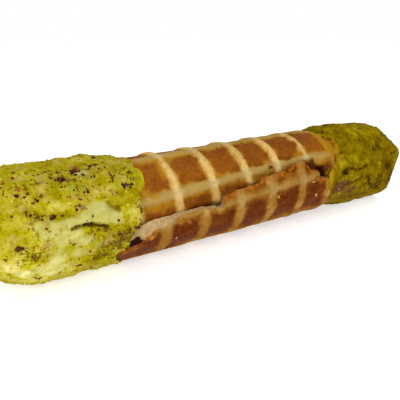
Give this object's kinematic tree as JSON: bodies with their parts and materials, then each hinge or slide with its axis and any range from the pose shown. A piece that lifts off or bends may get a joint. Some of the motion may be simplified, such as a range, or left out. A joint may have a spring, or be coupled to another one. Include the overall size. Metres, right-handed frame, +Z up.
{
  "type": "cannoli",
  "caption": "Waffle sheet rolled into a tube, filled with pistachio cream that swells over both ends under crushed pistachio.",
  "frame": {"origin": "on the surface the roll lies on, under the middle of its box", "axes": "+X along the roll from its thicker coated end to its slimmer one, +Z up, -Y the side with the sheet's torn free edge"},
  "size_m": [0.1386, 0.0316, 0.0301],
  "materials": {
    "wafer": "baked waffle, caramel brown cells between pale ribs",
    "pistachio": "cream coated with crushed pistachio, rough and dull"
  },
  "bodies": {
    "root": {"wafer_roll": "wafer", "pistachio_cream": "pistachio"}
  },
  "joints": []
}
